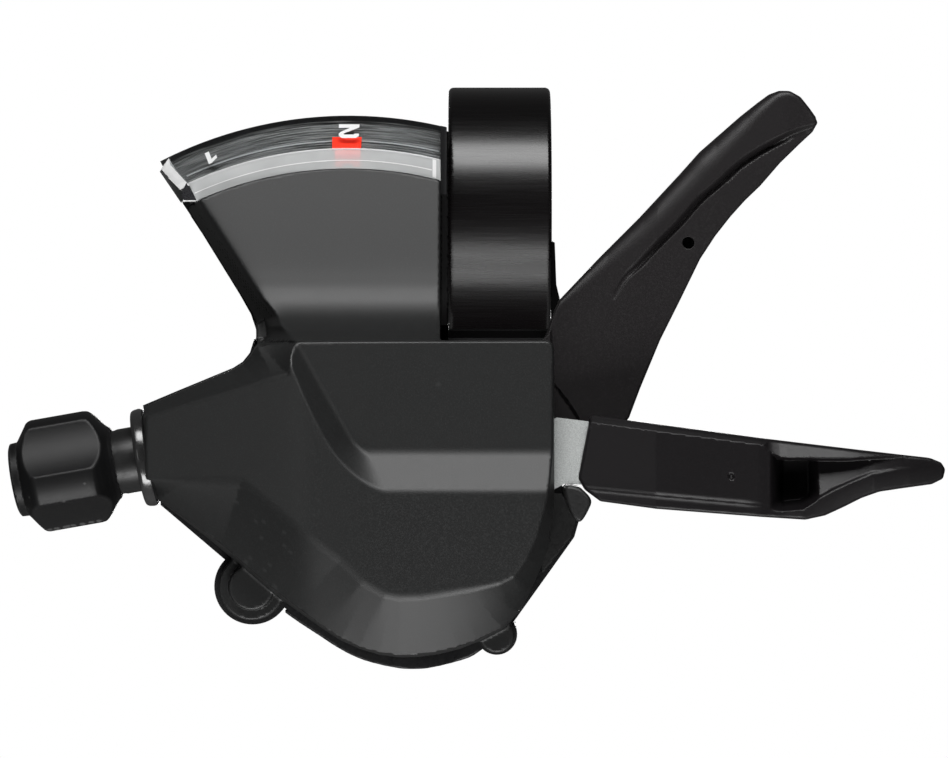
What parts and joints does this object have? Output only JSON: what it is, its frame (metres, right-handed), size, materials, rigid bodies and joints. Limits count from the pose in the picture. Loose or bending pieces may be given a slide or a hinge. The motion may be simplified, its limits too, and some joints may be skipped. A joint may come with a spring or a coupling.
{
  "type": "thumb shifter",
  "caption": "Left-hand trigger shifter for a flat bicycle handlebar: clamp band, housing with curved gear window, thumb lever, trigger lever and cable adjuster.",
  "frame": {"origin": "centre of the handlebar bore, on the bar's axis, halfway along the clamp band", "axes": "+X along the bar towards the grip and the two levers, +Z across the bar away from the body, -Y the way the front cover faces"},
  "size_m": [0.1045, 0.0491, 0.0665],
  "materials": {
    "cover": "fine satin moulded plastic, dark charcoal",
    "base": "black moulded plastic",
    "band": "satin black coated band",
    "bolt_steel": "black oxide steel",
    "zinc": "zinc plated steel",
    "lever_steel": "blasted zinc plated sheet",
    "spring_steel": "bright spring wire",
    "spool_plastic": "natural nylon",
    "grip": "warm black moulded plastic",
    "trigger": "warm black moulded plastic",
    "stop_rubber": "black elastomer",
    "lens": "clear acrylic",
    "dial": "dark printed dial",
    "needle": "red marker",
    "collar": "gloss black ring",
    "barrel": "black coated barrel",
    "knob": "dark grey moulded plastic"
  },
  "bodies": {
    "housing": {"front_cover": "cover", "base_housing": "base", "clamp_band": "band", "clamp_bolt": "bolt_steel", "clamp_nut": "zinc", "bracket_screw": "bolt_steel", "cover_screws": "bolt_steel", "support_plate": "zinc", "main_axle": "bolt_steel", "axle_washer": "zinc", "axle_nut": "zinc", "pawl_pin": "bolt_steel", "needle_pin": "bolt_steel", "plate_screws": "zinc", "spool_spring": "spring_steel", "trigger_return_spring": "spring_steel", "thumb_return_spring": "spring_steel", "lever_stop": "stop_rubber", "display_lens": "lens", "dial_plate": "dial", "display_back": "base", "adjuster_collar": "collar", "adjuster_spring": "spring_steel", "cable_port_plug": "base"},
    "spool": {"cable_spool": "spool_plastic", "ratchet_wheel": "zinc"},
    "needle": {"gear_needle": "needle"},
    "thumb_lever": {"thumb_lever_plate": "lever_steel", "thumb_lever_grip": "grip", "drive_pin": "bolt_steel"},
    "drive_pawl": {"drive_pawl": "zinc"},
    "trigger": {"trigger_lever": "trigger"},
    "holding_pawl": {"holding_pawl": "zinc"},
    "adjuster_barrel": {"adjuster_bolt": "barrel"},
    "adjuster_knob": {"adjuster_knob": "knob"}
  },
  "joints": [
    {"name": "thumb_lever_swing", "type": "hinge", "parent": "housing", "child": "thumb_lever", "pos_m": [-0.0098, -0.0272, -0.0345], "axis": [0, -1, 0], "range_deg": [0, 22], "stiffness_Nm_per_rad": 0.12, "springref_deg": -9.74},
    {"name": "drive_pawl_pivot", "type": "hinge", "parent": "thumb_lever", "child": "drive_pawl", "pos_m": [-0.0193, -0.0204, -0.02653], "axis": [0, 1, 0], "range_deg": [0, 8]},
    {"name": "trigger_swing", "type": "hinge", "parent": "housing", "child": "trigger", "pos_m": [-0.0098, -0.0235, -0.0345], "axis": [0, 1, 0], "range_deg": [0, 15], "stiffness_Nm_per_rad": 0.15, "springref_deg": -9.74},
    {"name": "holding_pawl_pivot", "type": "hinge", "parent": "housing", "child": "holding_pawl", "pos_m": [-0.02241, -0.0202, -0.04011], "axis": [0, 1, 0], "range_deg": [0, 7.5]},
    {"name": "spool_turn", "type": "hinge", "parent": "housing", "child": "spool", "pos_m": [-0.0098, -0.017, -0.0345], "axis": [0, -1, 0], "range_deg": [0, 44]},
    {"name": "needle_swing", "type": "hinge", "parent": "housing", "child": "needle", "pos_m": [-0.0172, -0.013, -0.0367], "axis": [0, -1, 0], "range_deg": [0, 20.6]},
    {"name": "adjuster_feed", "type": "slide", "parent": "housing", "child": "adjuster_barrel", "axis": [-0.9848, 0, -0.1736], "range_m": [-0.0004, 0.0012]},
    {"name": "adjuster_turn", "type": "hinge", "parent": "adjuster_barrel", "child": "adjuster_knob", "pos_m": [-0.03973, -0.017, -0.02845], "axis": [-0.9848, 0, -0.1736], "range_deg": [-180, 540]}
  ],
  "couplings": [
    {"joint": "needle_swing", "follows": "spool_turn", "ratio": 0.46591},
    {"joint": "holding_pawl_pivot", "follows": "trigger_swing", "ratio": 0.5},
    {"joint": "adjuster_turn", "follows": "adjuster_feed", "rad_per_m": 7853.9}
  ]
}
